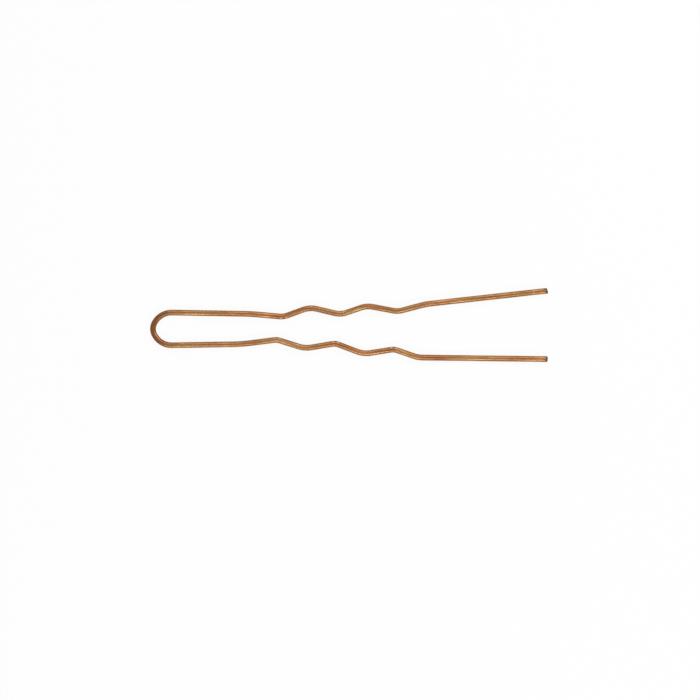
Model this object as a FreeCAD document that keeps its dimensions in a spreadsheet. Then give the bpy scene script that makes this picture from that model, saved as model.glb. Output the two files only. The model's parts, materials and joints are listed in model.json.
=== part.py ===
"""Waved hairpin: one length of round spring wire, lacquered, bent to a bow and two crimped legs.

Units are millimetres and degrees. The pin lies flat on z = 0, with +X from the bow to the tips and +Y
towards the left leg. The origin is on that surface, below the centre of the bow's crown arc. A station is
a distance along +X from the origin, and an offset is a distance outwards from the pin's centre line.

The wire springs open and shut, so it is divided into zones that turn on each other: the bow, and on each
leg a straight shank, a crimped run and a straight tip. A small flex gap parts the zones at each hinge.
Every zone has two solids: the steel wire, and the film of lacquer round it.
"""
import FreeCAD, Part
import math
import os

import Sketcher

# Driving sizes: value and meaning
SIZES = {
    "wire_diameter": (1.0, "bare steel wire"),
    "lacquer_film": (0.025, "thickness of the lacquer on the wire"),
    "flex_gap": (0.06, "gap between two zones of the wire, along its axis"),
    "bow_width": (5.75, "bow, from wire axis to wire axis"),
    "crown_radius": (2.25, "arc at the crown of the bow, to the wire axis"),
    "crown_angle": (27.0, "half of the angle that the crown arc covers"),
    "shank_setback": (3.85, "from the shank hinge on to the corner of the shank's bend"),
    "tip_setback": (2.75, "from the corner of the knee on to the tip hinge"),
    "tip_reach": (18.72, "from the further tip hinge to both sheared ends, along X"),
    "shear_angle": (18.0, "slant of the sheared ends, seen from the side"),
    "left_shank_lean": (0.98, "how far the left shank leans inwards"),
    "left_shank_length": (10.0, "left shank, from the bow to the shank hinge"),
    "left_bend_lead": (5.79, "from the shank's bend to the first kink, along X"),
    "left_kink_rise": (4.58, "from a kink to the next crest, along X"),
    "left_kink_fall": (5.45, "from a crest to the next kink, along X"),
    "left_knee_lead": (5.0, "from the last kink to the knee, along X"),
    "left_kink_offset_1": (2.12, "offset of the first kink"),
    "left_kink_offset_2": (2.52, "offset of the second kink"),
    "left_kink_offset_3": (3.06, "offset of the third kink"),
    "left_crest_offset_1": (3.81, "offset of the first crest"),
    "left_crest_offset_2": (4.08, "offset of the second crest"),
    "left_knee_offset": (4.36, "offset of the knee"),
    "left_bend_radius": (31.5, "bend at the end of the shank"),
    "left_kink_radius": (3.7, "bend at each kink"),
    "left_crest_radius": (4.3, "bend at each crest"),
    "left_knee_radius": (12.3, "bend at the knee"),
    "left_tip_splay": (6.3, "how far the left tip leans outwards"),
    "left_tip_skew": (10.0, "slant of the left sheared end, seen from above"),
    "right_shank_lean": (0.87, "how far the right shank leans inwards"),
    "right_shank_length": (8.4, "right shank, from the bow to the shank hinge"),
    "right_bend_lead": (6.22, "from the shank's bend to the first kink, along X"),
    "right_kink_rise": (4.94, "from a kink to the next crest, along X"),
    "right_kink_fall": (5.36, "from a crest to the next kink, along X"),
    "right_knee_lead": (4.2, "from the last kink to the knee, along X"),
    "right_kink_offset_1": (1.89, "offset of the first kink"),
    "right_kink_offset_2": (2.54, "offset of the second kink"),
    "right_kink_offset_3": (3.57, "offset of the third kink"),
    "right_crest_offset_1": (3.44, "offset of the first crest"),
    "right_crest_offset_2": (4.42, "offset of the second crest"),
    "right_knee_offset": (5.03, "offset of the knee"),
    "right_bend_radius": (31.0, "bend at the end of the shank"),
    "right_kink_radius": (2.4, "bend at each kink"),
    "right_crest_radius": (4.9, "bend at each crest"),
    "right_knee_radius": (5.1, "bend at the knee"),
    "right_tip_splay": (0.7, "how far the right tip leans outwards"),
    "right_tip_skew": (1.0, "slant of the right sheared end, seen from above"),
}

# Legs, with the sign of Y on their side of the centre line
SIDES = {"left": 1, "right": -1}

# Layers of the wire, with the outer diameter and the bore of each
LAYERS = {
    "wire": ("Sizes.wire_diameter", None),
    "lacquer": ("Layout.coated_diameter", "Sizes.wire_diameter"),
}

# Points of a sketch edge, and the sketch's own origin
START = 1
END = 2
CENTRE = 3
ORIGIN = (-1, 1)

Vector = FreeCAD.Vector
UP = Vector(0, 0, 1)
VOLUME_TOLERANCE = 1e-6


def make_sheet(doc):
    """Write the driving sizes to the sheet, one row each, with an alias on the value."""
    sheet = doc.addObject("Spreadsheet::Sheet", "Sizes")
    for row, (name, (value, meaning)) in enumerate(SIZES.items(), start=1):
        sheet.set(f"A{row}", name)
        sheet.set(f"B{row}", str(value))
        sheet.setAlias(f"B{row}", name)
        sheet.set(f"C{row}", meaning)
    doc.recompute()


def bow_layout():
    """The bow's derived sizes. Two shoulder arcs run on from the crown arc to the full width."""
    return {
        "coated_diameter": "Sizes.wire_diameter + 2 * Sizes.lacquer_film",
        "half_width": "Sizes.bow_width / 2",
        "shoulder_radius": "(Layout.half_width - Sizes.crown_radius * sin(Sizes.crown_angle))"
                           " / (1 - sin(Sizes.crown_angle))",
        "shoulder_station": "(Layout.shoulder_radius - Sizes.crown_radius) * cos(Sizes.crown_angle)",
        "shoulder_offset": "Layout.half_width - Layout.shoulder_radius",
    }


def leg_layout(side):
    """Where a leg's zones begin and end, chained from the bow to the tip."""
    lean = f"Sizes.{side}_shank_lean"
    splay = f"Sizes.{side}_tip_splay"
    return {
        f"{side}_shank_x": f"Layout.shoulder_station + Layout.shoulder_radius * sin({lean})",
        f"{side}_shank_y": f"Layout.shoulder_offset + Layout.shoulder_radius * cos({lean})",
        f"{side}_shank_hinge_x": f"Layout.{side}_shank_x + Sizes.{side}_shank_length * cos({lean})",
        f"{side}_shank_hinge_y": f"Layout.{side}_shank_y - Sizes.{side}_shank_length * sin({lean})",
        f"{side}_crimp_start_x": f"Layout.{side}_shank_hinge_x + Sizes.flex_gap / 2 * cos({lean})",
        f"{side}_crimp_start_y": f"Layout.{side}_shank_hinge_y - Sizes.flex_gap / 2 * sin({lean})",
        f"{side}_bend_x": f"Layout.{side}_shank_hinge_x + Sizes.shank_setback * cos({lean})",
        f"{side}_bend_y": f"Layout.{side}_shank_hinge_y - Sizes.shank_setback * sin({lean})",
        f"{side}_kink_x_1": f"Layout.{side}_bend_x + Sizes.{side}_bend_lead",
        f"{side}_crest_x_1": f"Layout.{side}_kink_x_1 + Sizes.{side}_kink_rise",
        f"{side}_kink_x_2": f"Layout.{side}_crest_x_1 + Sizes.{side}_kink_fall",
        f"{side}_crest_x_2": f"Layout.{side}_kink_x_2 + Sizes.{side}_kink_rise",
        f"{side}_kink_x_3": f"Layout.{side}_crest_x_2 + Sizes.{side}_kink_fall",
        f"{side}_knee_x": f"Layout.{side}_kink_x_3 + Sizes.{side}_knee_lead",
        f"{side}_tip_hinge_x": f"Layout.{side}_knee_x + Sizes.tip_setback * cos({splay})",
        f"{side}_tip_hinge_y": f"Sizes.{side}_knee_offset + Sizes.tip_setback * sin({splay})",
        f"{side}_crimp_end_x": f"Layout.{side}_tip_hinge_x - Sizes.flex_gap / 2 * cos({splay})",
        f"{side}_crimp_end_y": f"Layout.{side}_tip_hinge_y - Sizes.flex_gap / 2 * sin({splay})",
    }


def end_layout(side):
    """How long a tip is, and where its slanted end crosses the wire axis."""
    return {
        f"{side}_tip_length": f"(Layout.tip_end_x - Layout.{side}_tip_hinge_x) / cos(Sizes.{side}_tip_splay)",
        f"{side}_shear_x": f"Layout.{side}_tip_length - Layout.coated_diameter / 2"
                           f" * sqrt(tan(Sizes.shear_angle)^2 + tan(Sizes.{side}_tip_skew)^2)",
    }


def make_layout(doc):
    """Keep the sizes that follow from the driving ones as bound properties."""
    layout = doc.addObject("App::VarSet", "Layout")
    formulas = bow_layout()
    for side in SIDES:
        formulas.update(leg_layout(side))
    formulas["tip_end_x"] = "max(Layout.left_tip_hinge_x; Layout.right_tip_hinge_x) + Sizes.tip_reach"
    for side in SIDES:
        formulas.update(end_layout(side))
    for name in formulas:
        layout.addProperty("App::PropertyFloat", name)
    for name, formula in formulas.items():
        layout.setExpression(name, formula.replace("Layout.", ""))
    doc.recompute()
    return layout


def origin_plane(body, role):
    """One of the body's own origin planes, such as XY_Plane."""
    return next(feature for feature in body.Origin.OriginFeatures if feature.Role == role)


def flat_sketch(body, name, role):
    """A sketch on one of the body's origin planes."""
    sketch = body.newObject("Sketcher::SketchObject", name)
    sketch.AttachmentSupport = [(origin_plane(body, role), "")]
    sketch.MapMode = "FlatFace"
    return sketch


def constrain(sketch, kind, *parts):
    """Add a geometric constraint."""
    sketch.addConstraint(Sketcher.Constraint(kind, *parts))


def dimension(sketch, formula, kind, *parts):
    """Add a dimension and bind it to the formula."""
    index = sketch.addConstraint(Sketcher.Constraint(kind, *parts, sketch.evalExpression(formula)))
    sketch.setExpression(f"Constraints[{index}]", formula)


def draw_section(sketch, layer):
    """The wire's round section in that layer: a disc for the steel, a ring for the lacquer."""
    for diameter in LAYERS[layer]:
        if diameter is None:
            continue
        radius = sketch.evalExpression(diameter) / 2
        circle = sketch.addGeometry(Part.Circle(Vector(), UP, radius))
        constrain(sketch, "Coincident", circle, CENTRE, *ORIGIN)
        dimension(sketch, diameter, "Diameter", circle)


def new_body(doc, zone, layer, shift_x="0", shift_y="0", turn="0"):
    """An empty body for one layer of a zone, lifted so that the coated wire lies on z = 0."""
    label = f"{zone}_{layer}"
    body = doc.addObject("PartDesign::Body", label)
    body.Label = label
    body.Placement = FreeCAD.Placement(Vector(), FreeCAD.Rotation(UP, 1))
    body.setExpression("Placement.Base.x", shift_x)
    body.setExpression("Placement.Base.y", shift_y)
    body.setExpression("Placement.Base.z", "Layout.coated_diameter / 2")
    body.setExpression("Placement.Rotation.Angle", turn)
    return body


def sweep_section(doc, body, path, layer):
    """Sweep the layer's section along the whole path, from the start of its first edge."""
    doc.recompute()
    section = body.newObject("Sketcher::SketchObject", "section")
    section.AttachmentSupport = [(path, "Edge1")]
    section.MapMode = "NormalToEdge"
    draw_section(section, layer)
    doc.recompute()
    sweep = body.newObject("PartDesign::AdditivePipe", "sweep")
    sweep.Profile = section
    sweep.Spine = (path, [f"Edge{number}" for number in range(1, len(path.Shape.Edges) + 1)])
    doc.recompute()


def draw_bow_path(sketch, layout):
    """Shoulder, crown and shoulder arcs, from the left shank round to the right one."""
    crown_radius = sketch.evalExpression("Sizes.crown_radius")
    crown_angle = math.radians(sketch.evalExpression("Sizes.crown_angle"))
    shoulder = layout.shoulder_radius
    leans = {side: math.radians(sketch.evalExpression(f"Sizes.{side}_shank_lean")) for side in SIDES}
    crown_from = math.pi - crown_angle
    crown_to = math.pi + crown_angle
    left_centre = Vector(layout.shoulder_station, layout.shoulder_offset, 0)
    right_centre = Vector(layout.shoulder_station, -layout.shoulder_offset, 0)
    arcs = (
        (left_centre, shoulder, math.pi / 2 - leans["left"], crown_from),
        (Vector(), crown_radius, crown_from, crown_to),
        (right_centre, shoulder, crown_to, 3 * math.pi / 2 + leans["right"]),
    )
    left, crown, right = [
        sketch.addGeometry(Part.ArcOfCircle(Part.Circle(centre, UP, radius), begin, finish))
        for centre, radius, begin, finish in arcs
    ]
    constrain(sketch, "Coincident", crown, CENTRE, *ORIGIN)
    constrain(sketch, "Tangent", left, END, crown, START)
    constrain(sketch, "Tangent", crown, END, right, START)
    dimension(sketch, "Sizes.crown_radius", "Radius", crown)
    for side, arc, shank_end in (("left", left, START), ("right", right, END)):
        dimension(sketch, "Layout.shoulder_radius", "Radius", arc)
        dimension(sketch, f"{SIDES[side]} * Layout.shoulder_offset", "DistanceY", *ORIGIN, arc, CENTRE)
        dimension(sketch, f"Layout.{side}_shank_x", "DistanceX", *ORIGIN, arc, shank_end)


def crimp_corners(side):
    """A crimped run's corners from bow to tip: station, offset and bend radius of each."""
    corners = [(f"Layout.{side}_bend_x", f"Layout.{side}_bend_y", f"Sizes.{side}_bend_radius")]
    for kind, number in (("kink", 1), ("crest", 1), ("kink", 2), ("crest", 2), ("kink", 3)):
        station = f"Layout.{side}_{kind}_x_{number}"
        corners.append((station, f"Sizes.{side}_{kind}_offset_{number}", f"Sizes.{side}_{kind}_radius"))
    corners.append((f"Layout.{side}_knee_x", f"Sizes.{side}_knee_offset", f"Sizes.{side}_knee_radius"))
    return corners


def rounded_corner(before, corner, after, radius):
    """The arc that rounds a corner: its two tangent points, its centre and whether it turns left."""
    ahead = (corner - before).normalize()
    beyond = (after - corner).normalize()
    turn = math.atan2(ahead.cross(beyond).z, ahead.dot(beyond))
    reach = radius * math.tan(abs(turn) / 2)
    entry = corner - ahead * reach
    leave = corner + beyond * reach
    centre = entry + UP.cross(ahead) * math.copysign(radius, turn)
    return entry, leave, centre, turn > 0


def draw_crimp_path(sketch, side):
    """Straight runs joined by tangent arcs, from the shank hinge to the tip hinge."""
    sign = SIDES[side]
    corners = crimp_corners(side)
    ends = [(f"Layout.{side}_crimp_{end}_x", f"Layout.{side}_crimp_{end}_y") for end in ("start", "end")]

    def place(station, offset):
        return Vector(sketch.evalExpression(station), sign * sketch.evalExpression(offset), 0)

    points = [place(*ends[0])] + [place(*corner[:2]) for corner in corners] + [place(*ends[1])]
    run_start = points[0]
    lines = []
    arcs = []
    for number, (_, _, radius_formula) in enumerate(corners, start=1):
        radius = sketch.evalExpression(radius_formula)
        entry, leave, centre, turns_left = rounded_corner(*points[number - 1:number + 2], radius)
        begin, finish = (entry, leave) if turns_left else (leave, entry)
        angles = [math.atan2((point - centre).y, (point - centre).x) for point in (begin, finish)]
        lines.append(sketch.addGeometry(Part.LineSegment(run_start, entry)))
        circle = Part.Circle(centre, UP, radius)
        arc = sketch.addGeometry(Part.ArcOfCircle(circle, *angles))
        arcs.append((arc, START, END) if turns_left else (arc, END, START))
        run_start = leave
    lines.append(sketch.addGeometry(Part.LineSegment(run_start, points[-1])))

    for number, (station, offset, radius_formula) in enumerate(corners):
        arc, arc_in, arc_out = arcs[number]
        constrain(sketch, "Tangent", lines[number], END, arc, arc_in)
        constrain(sketch, "Tangent", arc, arc_out, lines[number + 1], START)
        dimension(sketch, radius_formula, "Radius", arc)
        corner = sketch.addGeometry(Part.Point(points[number + 1]), True)
        constrain(sketch, "PointOnObject", corner, START, lines[number])
        constrain(sketch, "PointOnObject", corner, START, lines[number + 1])
        dimension(sketch, station, "DistanceX", *ORIGIN, corner, START)
        dimension(sketch, f"{sign} * {offset}", "DistanceY", *ORIGIN, corner, START)
    for (station, offset), line, point in zip(ends, (lines[0], lines[-1]), (START, END)):
        dimension(sketch, station, "DistanceX", *ORIGIN, line, point)
        dimension(sketch, f"{sign} * {offset}", "DistanceY", *ORIGIN, line, point)


def straight_bar(doc, body, layer, begin, length):
    """A straight stretch of the layer along the body's X, from the given distance on."""
    section = flat_sketch(body, "section", "YZ_Plane")
    section.setExpression("AttachmentOffset.Base.z", begin)
    draw_section(section, layer)
    doc.recompute()
    bar = body.newObject("PartDesign::Pad", "bar")
    bar.Profile = section
    bar.setExpression("Length", length)
    doc.recompute()


def shear_end(doc, body, side):
    """Cut a tip's end on a slant that faces up, turned a little outwards where the tip has a skew."""
    sign = SIDES[side]
    waste = flat_sketch(body, "shear_waste", "XZ_Plane")
    waste.AttachmentOffset = FreeCAD.Placement(Vector(), FreeCAD.Rotation(Vector(0, 1, 0), 1))
    waste.setExpression("AttachmentOffset.Base.x", f"Layout.{side}_shear_x")
    waste.setExpression("AttachmentOffset.Rotation.Angle", f"{sign} * Sizes.{side}_tip_skew")
    height = "Layout.coated_diameter"
    slope = "2 * Layout.coated_diameter * tan(Sizes.shear_angle)"
    cover = "2 * Layout.coated_diameter + Layout.coated_diameter * tan(Sizes.shear_angle)"
    high = waste.evalExpression(height)
    back = waste.evalExpression(slope) / 2
    far = waste.evalExpression(cover)
    corners = (Vector(back, -high, 0), Vector(-back, high, 0), Vector(far, high, 0), Vector(far, -high, 0))
    edges = [
        waste.addGeometry(Part.LineSegment(corner, corners[(number + 1) % len(corners)]))
        for number, corner in enumerate(corners)
    ]
    for number, edge in enumerate(edges):
        constrain(waste, "Coincident", edge, END, edges[(number + 1) % len(edges)], START)
    slant, top, far_side, bottom = edges
    constrain(waste, "Horizontal", top)
    constrain(waste, "Vertical", far_side)
    constrain(waste, "Horizontal", bottom)
    constrain(waste, "Symmetric", slant, START, slant, END, *ORIGIN)
    dimension(waste, height, "DistanceY", *ORIGIN, slant, END)
    dimension(waste, slope, "DistanceX", slant, END, slant, START)
    dimension(waste, cover, "DistanceX", *ORIGIN, top, END)
    doc.recompute()
    blank_volume = body.Shape.Volume
    shear = body.newObject("PartDesign::Pocket", "shear")
    shear.Profile = waste
    shear.Type = "ThroughAll"
    shear.SideType = "Symmetric"
    doc.recompute()
    if body.Shape.Volume > blank_volume - VOLUME_TOLERANCE:
        raise RuntimeError(f"the shear cut nothing off {body.Label}")


def make_bow(doc, layout, layer):
    """The round bow at the closed end."""
    body = new_body(doc, "bow", layer)
    path = flat_sketch(body, "path", "XY_Plane")
    draw_bow_path(path, layout)
    sweep_section(doc, body, path, layer)
    return body


def make_shank(doc, side, layer):
    """The straight stretch of a leg next to the bow."""
    sign = SIDES[side]
    body = new_body(
        doc, f"{side}_shank", layer,
        shift_x=f"Layout.{side}_shank_x",
        shift_y=f"{sign} * Layout.{side}_shank_y",
        turn=f"{-sign} * Sizes.{side}_shank_lean",
    )
    length = f"Sizes.{side}_shank_length - Sizes.flex_gap - Sizes.flex_gap / 2"
    straight_bar(doc, body, layer, "Sizes.flex_gap", length)
    return body


def make_crimp(doc, side, layer):
    """The waved run of a leg, with its kinks, its crests and its knee."""
    body = new_body(doc, f"{side}_crimp", layer)
    path = flat_sketch(body, "path", "XY_Plane")
    draw_crimp_path(path, side)
    sweep_section(doc, body, path, layer)
    return body


def make_tip(doc, side, layer):
    """The straight free end of a leg, sheared off on a slant."""
    sign = SIDES[side]
    body = new_body(
        doc, f"{side}_tip", layer,
        shift_x=f"Layout.{side}_tip_hinge_x",
        shift_y=f"{sign} * Layout.{side}_tip_hinge_y",
        turn=f"{sign} * Sizes.{side}_tip_splay",
    )
    straight_bar(doc, body, layer, "Sizes.flex_gap / 2", f"Layout.{side}_tip_length - Sizes.flex_gap / 2")
    shear_end(doc, body, side)
    return body


def check(doc, pieces):
    """Stop if any object failed, or if a piece isn't one valid solid."""
    for item in doc.Objects:
        if {"Invalid", "Error"} & set(item.State):
            raise RuntimeError(f"{item.Name} failed: {item.State}")
    for piece in pieces:
        shape = piece.Shape
        if shape.isNull() or not shape.isValid() or len(shape.Solids) != 1:
            raise RuntimeError(f"{piece.Label} isn't one valid solid")


def print_layout(layout):
    """Say where the hinges are, and how long the pin is over all."""
    height = layout.coated_diameter / 2
    half_gap = layout.evalExpression("Sizes.flex_gap") / 2
    for side, sign in SIDES.items():
        lean = math.radians(layout.evalExpression(f"Sizes.{side}_shank_lean"))
        bow_x = getattr(layout, f"{side}_shank_x") + half_gap * math.cos(lean)
        bow_y = getattr(layout, f"{side}_shank_y") - half_gap * math.sin(lean)
        print(f"{side}_shank hinge {bow_x:.4f} {sign * bow_y:.4f} {height:.4f}")
        for zone, hinge in (("crimp", "shank_hinge"), ("tip", "tip_hinge")):
            x = getattr(layout, f"{side}_{hinge}_x")
            y = sign * getattr(layout, f"{side}_{hinge}_y")
            print(f"{side}_{zone} hinge {x:.4f} {y:.4f} {height:.4f}")
        print(f"{side}_tip length {getattr(layout, f'{side}_tip_length'):.4f}")
    crown_reach = layout.evalExpression("Sizes.crown_radius") + height
    print(f"length over all {layout.tip_end_x + crown_reach:.3f}")


document = FreeCAD.newDocument("waved_hairpin")
make_sheet(document)
places = make_layout(document)
pieces = []
for layer_name in LAYERS:
    pieces.append(make_bow(document, places, layer_name))
    for side_name in SIDES:
        pieces.append(make_shank(document, side_name, layer_name))
        pieces.append(make_crimp(document, side_name, layer_name))
        pieces.append(make_tip(document, side_name, layer_name))
document.recompute()
check(document, pieces)
print_layout(places)

os.makedirs("parts", exist_ok=True)
for piece in pieces:
    piece.Shape.exportStep(f"parts/{piece.Label}.step")
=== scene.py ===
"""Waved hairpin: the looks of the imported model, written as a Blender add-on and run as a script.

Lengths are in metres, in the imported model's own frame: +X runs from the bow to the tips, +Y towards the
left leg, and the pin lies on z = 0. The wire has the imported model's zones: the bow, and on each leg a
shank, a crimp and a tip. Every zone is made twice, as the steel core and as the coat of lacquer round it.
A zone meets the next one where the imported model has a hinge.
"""

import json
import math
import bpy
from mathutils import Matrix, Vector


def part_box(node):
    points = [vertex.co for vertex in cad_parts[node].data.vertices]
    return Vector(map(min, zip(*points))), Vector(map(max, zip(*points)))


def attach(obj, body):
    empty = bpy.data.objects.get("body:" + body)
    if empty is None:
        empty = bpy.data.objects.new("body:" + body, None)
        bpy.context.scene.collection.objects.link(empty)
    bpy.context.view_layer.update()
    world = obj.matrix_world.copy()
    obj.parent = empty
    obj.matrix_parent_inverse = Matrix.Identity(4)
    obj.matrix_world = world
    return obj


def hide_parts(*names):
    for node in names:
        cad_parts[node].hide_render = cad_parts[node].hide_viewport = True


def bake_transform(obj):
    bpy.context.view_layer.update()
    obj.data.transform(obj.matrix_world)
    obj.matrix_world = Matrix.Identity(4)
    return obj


bl_info = {
    "name": "Waved hairpin",
    "version": (1, 0, 0),
    "blender": (4, 5, 0),
    "location": "3D View > Sidebar > Hairpin",
    "description": "Builds a lacquered wire hairpin over its packed frame",
    "category": "Object",
}

from collections import namedtuple

import bmesh
import bpy
import numpy as np
from bpy.props import FloatProperty, FloatVectorProperty, IntProperty, PointerProperty
from bpy.types import Operator, Panel, PropertyGroup
from mathutils import Matrix, Vector, noise

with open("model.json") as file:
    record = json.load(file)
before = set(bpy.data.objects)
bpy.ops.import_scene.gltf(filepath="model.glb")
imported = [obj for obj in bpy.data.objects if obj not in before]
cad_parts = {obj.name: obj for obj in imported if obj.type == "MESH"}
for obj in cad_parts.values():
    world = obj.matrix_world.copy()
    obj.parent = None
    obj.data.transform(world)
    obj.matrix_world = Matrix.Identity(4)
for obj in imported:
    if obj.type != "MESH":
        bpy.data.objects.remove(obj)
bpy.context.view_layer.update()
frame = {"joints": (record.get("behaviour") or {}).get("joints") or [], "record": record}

MM = 0.001
UP = Vector((0.0, 0.0, 1.0))
FIT_TOLERANCE = 0.1 * MM
SHARP_ANGLE = math.radians(40.0)

# Legs, with the sign of Y on their side of the centre line
SIDES = {"left": 1, "right": -1}

# What the frame gives: hinges by the body they carry, the mounts, and the straight tips
HINGES = {joint["child"]: Vector(joint["pos_m"]) for joint in frame["joints"]}
MOUNTS = {mount["name"]: mount for mount in frame["record"]["mounts"]}
TIP_PINS = {side: MOUNTS[f"{side}_tip_pin"] for side in SIDES}
COATED_DIAMETER = 2 * TIP_PINS["left"]["dims"]["r_mm"]

# Attributes that the wire carries
BEND_RADIUS = "bend_radius"
WIRE_PLACE = "wire_place"
# Rubbed lacquer at the tool nicks and the gripper's mark; at the nicks it is also lightened as painted glints
RUB_AND_GLINT = "rubbed"
CUT_FACE = "cut_face"

# Where the kinks come in a crimp's route
KINK_CORNERS = (2, 4, 6)

# A point of a route, with the radius that rounds it, and a layer of the wire
Corner = namedtuple("Corner", "place radius")
Layer = namedtuple("Layer", "node slot capped")
LAYERS = {"steel": Layer("wire", "bare_steel", True), "coat": Layer("lacquer", "bronze_lacquer", False)}


# Properties that a user can change

def length(name, description, size):
    """A length, given in millimetres."""
    return FloatProperty(
        name=name, description=description, default=size * MM, min=0.0, precision=6,
        subtype="DISTANCE", unit="LENGTH",
    )


def coordinate(name, description, size):
    """A coordinate, given in millimetres."""
    return FloatProperty(name=name, description=description, default=size * MM, unit="LENGTH")


def angle(name, description, degrees):
    """An angle, given in degrees."""
    return FloatProperty(
        name=name, description=description, default=math.radians(degrees), subtype="ANGLE", unit="ROTATION"
    )


def share(name, description, value):
    """A number from 0 to 1."""
    return FloatProperty(
        name=name, description=description, default=value, min=0.0, max=1.0, subtype="FACTOR"
    )


def power(name, description, watts):
    """The power of a lamp, in watts."""
    return FloatProperty(name=name, description=description, default=watts, min=0.0, unit="POWER")


def colour(name, description, value):
    """A linear colour."""
    return FloatVectorProperty(
        name=name, description=description, default=value, size=3, min=0.0, max=1.0, subtype="COLOR"
    )


class HAIRPIN_PG_wire(PropertyGroup):
    """The wire that the whole pin is bent from"""

    coated_diameter: length("Coated diameter", "Steel wire with its lacquer", COATED_DIAMETER)
    film: length("Film", "Thickness of the lacquer", 0.025)
    ring_spacing: length("Ring spacing", "Distance between the rings of faces along the wire", 0.1)
    side_count: IntProperty(name="Sides", description="Faces round the wire", default=64, min=12, max=96)
    arc_steps: IntProperty(
        name="Arc steps", description="Straight steps in each rounded corner", default=32, min=8
    )
    flex_length: length("Flex length", "How far the bend of a hinge is spread along the wire", 5.0)


class HAIRPIN_PG_bow(PropertyGroup):
    """The round bow at the closed end"""

    crown_radius: length("Crown radius", "Arc at the crown, to the wire's axis", 2.25)
    crown_angle: angle("Crown angle", "Half of the angle that the crown arc covers", 27.0)


# Sizes that both legs have, each with its value on the left and on the right leg
LegSize = namedtuple("LegSize", "kind label description left right")
LEG_SIZES = {
    "bend_setback": LegSize(length, "Bend setback", "From the crimp's hinge to its bend", 3.85, 3.85),
    "bend_lead": LegSize(length, "Bend lead", "From the bend to the first kink, along X", 5.79, 6.22),
    "kink_rise": LegSize(length, "Kink rise", "From a kink to the next crest, along X", 4.58, 4.94),
    "kink_fall": LegSize(length, "Kink fall", "From a crest to the next kink, along X", 5.45, 5.36),
    "knee_lead": LegSize(length, "Knee lead", "From the last kink to the knee, along X", 5.0, 4.2),
    "kink_offset_1": LegSize(length, "First kink", "Offset of the first kink", 2.12, 1.89),
    "kink_offset_2": LegSize(length, "Second kink", "Offset of the second kink", 2.52, 2.54),
    "kink_offset_3": LegSize(length, "Third kink", "Offset of the third kink", 3.06, 3.57),
    "crest_offset_1": LegSize(length, "First crest", "Offset of the first crest", 3.81, 3.44),
    "crest_offset_2": LegSize(length, "Second crest", "Offset of the second crest", 4.08, 4.42),
    "knee_offset": LegSize(length, "Knee", "Offset of the knee", 4.36, 5.03),
    "bend_radius": LegSize(length, "Bend radius", "Rounding of the bend", 31.5, 31.0),
    "kink_radius": LegSize(length, "Kink radius", "Rounding of the kinks", 3.7, 2.4),
    "crest_radius": LegSize(length, "Crest radius", "Rounding of the crests", 4.3, 4.9),
    "knee_radius": LegSize(length, "Knee radius", "Rounding of the knee", 12.3, 5.1),
    "tip_length": LegSize(length, "Tip length", "From its hinge to the far edge of its cut", 18.834, 20.141),
    "cut_skew": LegSize(angle, "Cut skew", "Slant of the cut end, seen from above", 10.0, 1.0),
    # The rubs at the kinks: lacquer rubbed thin, and lightened as painted glints
    "rub_1": LegSize(share, "First rub", "How far the lacquer is rubbed at the first kink", 1.0, 0.9),
    "rub_2": LegSize(share, "Second rub", "How far the lacquer is rubbed at the second kink", 0.55, 1.0),
    "rub_3": LegSize(share, "Third rub", "How far the lacquer is rubbed at the third kink", 0.4, 1.0),
}


def leg_properties(side):
    """The properties of one leg."""
    return {
        key: size.kind(size.label, size.description, getattr(size, side)) for key, size in LEG_SIZES.items()
    }


class HAIRPIN_PG_left_leg(PropertyGroup):
    """The left leg, with offsets measured outwards from the pin's centre line"""

    __annotations__ = leg_properties("left")


class HAIRPIN_PG_right_leg(PropertyGroup):
    """The right leg, with offsets measured outwards from the pin's centre line"""

    __annotations__ = leg_properties("right")


class HAIRPIN_PG_marks(PropertyGroup):
    """What the bending tools, the gripper and the shear leave on the wire"""

    nick_spacing: length("Nick spacing", "Between the two tool nicks of a kink, along the wire", 0.85)
    nick_length: length("Nick length", "Tool nick, along the wire", 0.5)
    nick_depth: length("Nick depth", "How far a tool nick is pressed in", 0.03)
    nick_tilt: angle("Nick tilt", "How far the nicks sit above and below the pin's plane", 48.0)
    # Painted glints: the rubbed spots round the nicks stand for glints as well as for rubbed lacquer
    rub_glint_reach: length("Rub reach", "How far the rubbed lacquer spreads round a nick", 0.2)
    grip_station: length("Grip station", "From the left tip's hinge to the gripper's mark", 16.26)
    grip_width: length("Grip width", "Gripper's mark, along the wire", 0.5)
    grip_depth: length("Grip depth", "How far the gripper's mark is pressed in", 0.022)
    grip_rub: share("Grip rub", "How far the gripper rubbed the lacquer", 0.45)
    film_wave: length("Film wave", "Half of the depth by which the lacquer's surface sags", 0.003)
    wave_length: length("Wave length", "Length of the sags along the wire", 2.6)
    cut_slant: angle("Cut slant", "Slant of the cut ends, seen from the side", 18.0)
    crowding: length("Crowding", "How far from the cut the rings of faces draw together", 0.4)
    roll_length: length("Roll length", "Edge that the shear rolled over, along the wire", 0.16)
    roll_depth: length("Roll depth", "How far the shear rolled the edge in", 0.05)
    burr: length("Burr", "Half of the depth of the torn lower edge", 0.02)
    smudge: length("Smudge", "How far from the cut the lacquer is darkened", 0.4)
    film_tear: length("Film tear", "Half of the depth to which the lacquer's edge is torn back", 0.01)
    tear: length("Tear", "Roughness of the torn part of the cut face", 0.014)
    tear_grain: length("Tear grain", "Size of the grain in the torn part", 0.12)
    face_rings: IntProperty(name="Face rings", description="Rings of faces in a cut face", default=9, min=3)


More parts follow.
